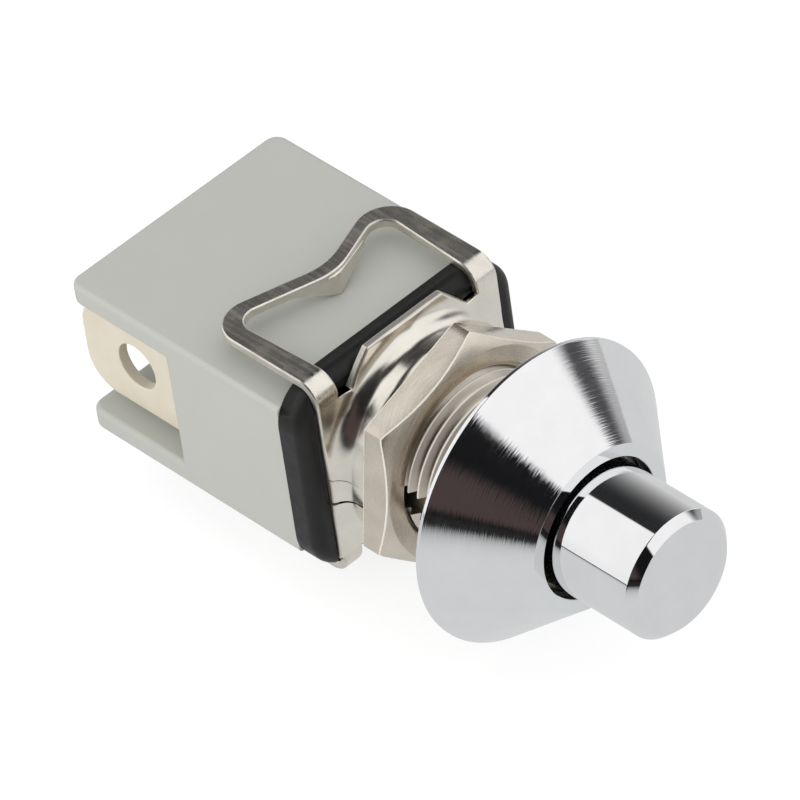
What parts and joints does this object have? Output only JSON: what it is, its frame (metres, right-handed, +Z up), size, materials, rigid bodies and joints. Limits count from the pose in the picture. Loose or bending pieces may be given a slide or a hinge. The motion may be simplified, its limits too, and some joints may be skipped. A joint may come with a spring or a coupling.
{
  "type": "momentary push button switch",
  "caption": "Panel-mount momentary push button switch: chrome button in a conical bezel nut, threaded bushing with hex nut, strapped metal frame, moulded case and solder terminals.",
  "frame": {"origin": "on the button's axis, in the plane of the hex nut's front face, where the panel seats", "axes": "+Y along the button's axis to the rear (the way the button is pressed), +Z up, +X to the right as seen from the front"},
  "size_m": [0.021, 0.046, 0.021],
  "materials": {
    "case": "matte moulded, light grey",
    "front_cover": "matte moulded, black",
    "mounting_frame": "nickel-plated sheet, bright",
    "threaded_bushing": "nickel-plated, turned",
    "hex_nut": "nickel-plated, machined",
    "bezel_nut": "chrome-plated, fine turning lines",
    "push_button": "chrome-plated, polished",
    "spring_washer": "plain",
    "return_spring": "drawn wire",
    "actuator": "matte moulded, natural",
    "contact_bridge": "rolled strip",
    "contact_spring": "drawn wire",
    "retaining_ring": "oiled spring steel",
    "contacts": "silver-faced, domed edge",
    "terminals": "tin-plated strip"
  },
  "bodies": {
    "switch": {"case": "case", "front_cover": "front_cover", "mounting_frame": "mounting_frame", "threaded_bushing": "threaded_bushing", "spring_washer": "spring_washer", "return_spring": "return_spring", "fixed_contact_left": "contacts", "fixed_contact_right": "contacts", "terminal_left": "terminals", "terminal_right": "terminals"},
    "button": {"push_button": "push_button", "actuator": "actuator", "retaining_ring": "retaining_ring", "contact_spring": "contact_spring"},
    "bridge": {"contact_bridge": "contact_bridge", "moving_contact_left": "contacts", "moving_contact_right": "contacts"},
    "bezel": {"bezel_nut": "bezel_nut"},
    "nut": {"hex_nut": "hex_nut"}
  },
  "joints": [
    {"name": "button_press", "type": "slide", "parent": "switch", "child": "button", "axis": [0, 1, 0], "range_m": [0, 0.003], "stiffness_N_per_m": 600, "springref_m": -0.003, "deforming": ["return_spring", "contact_spring"]},
    {"name": "bridge_slide", "type": "slide", "parent": "switch", "child": "bridge", "axis": [0, 1, 0], "range_m": [0, 0.00199]},
    {"name": "bezel_turn", "type": "hinge", "parent": "switch", "child": "bezel", "pos_m": [0, -0.008, 0], "axis": [0, -1, 0], "continuous": true},
    {"name": "nut_turn", "type": "hinge", "parent": "switch", "child": "nut", "pos_m": [0, 0.00115, 0], "axis": [0, -1, 0], "continuous": true}
  ],
  "couplings": [
    {"joint": "bridge_slide", "follows": "button_press", "ratio": 0.66}
  ]
}
